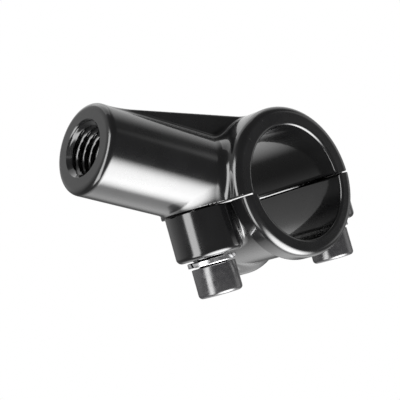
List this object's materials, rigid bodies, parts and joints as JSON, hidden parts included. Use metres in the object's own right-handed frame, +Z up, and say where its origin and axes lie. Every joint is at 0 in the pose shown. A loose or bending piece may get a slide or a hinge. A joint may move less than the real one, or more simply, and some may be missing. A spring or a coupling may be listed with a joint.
{
  "type": "stanchion base",
  "caption": "Split tube clamp with a slanted, internally threaded barrel boss, closed by a screwed cap, for fixing a threaded post or accessory to a round rail.",
  "frame": {"origin": "on the clamp bore's axis, level with the screws, on the split plane", "axes": "+Y along the bore, -X towards the barrel boss, +Z up, square to the split plane and away from the cap"},
  "size_m": [0.0712, 0.0274, 0.0438],
  "materials": {
    "gloss_black_coat": "gloss black coat over a cast surface",
    "black_screw": "gloss black plated screw",
    "bright_steel": "bright spring steel"
  },
  "bodies": {
    "body": {"clamp_body": "gloss_black_coat"},
    "cap": {"clamp_cap": "gloss_black_coat", "left_lock_washer": "bright_steel", "right_lock_washer": "bright_steel"},
    "left_screw": {"left_screw": "black_screw"},
    "right_screw": {"right_screw": "black_screw"}
  },
  "joints": [
    {"name": "cap_open", "type": "slide", "parent": "body", "child": "cap", "axis": [0, 0, -1], "range_m": [-0.0002, 0.0065]},
    {"name": "left_screw_turn", "type": "hinge", "parent": "cap", "child": "left_screw", "pos_m": [-0.018, 0, -0.0119], "axis": [0, 0, -1], "range_deg": [-57, 1845]},
    {"name": "right_screw_turn", "type": "hinge", "parent": "cap", "child": "right_screw", "pos_m": [0.018, 0, -0.0119], "axis": [0, 0, -1], "range_deg": [-57, 1845]}
  ],
  "couplings": [
    {"joint": "left_screw_turn", "follows": "cap_open", "rad_per_m": 4947.4},
    {"joint": "right_screw_turn", "follows": "cap_open", "rad_per_m": 4947.4}
  ]
}
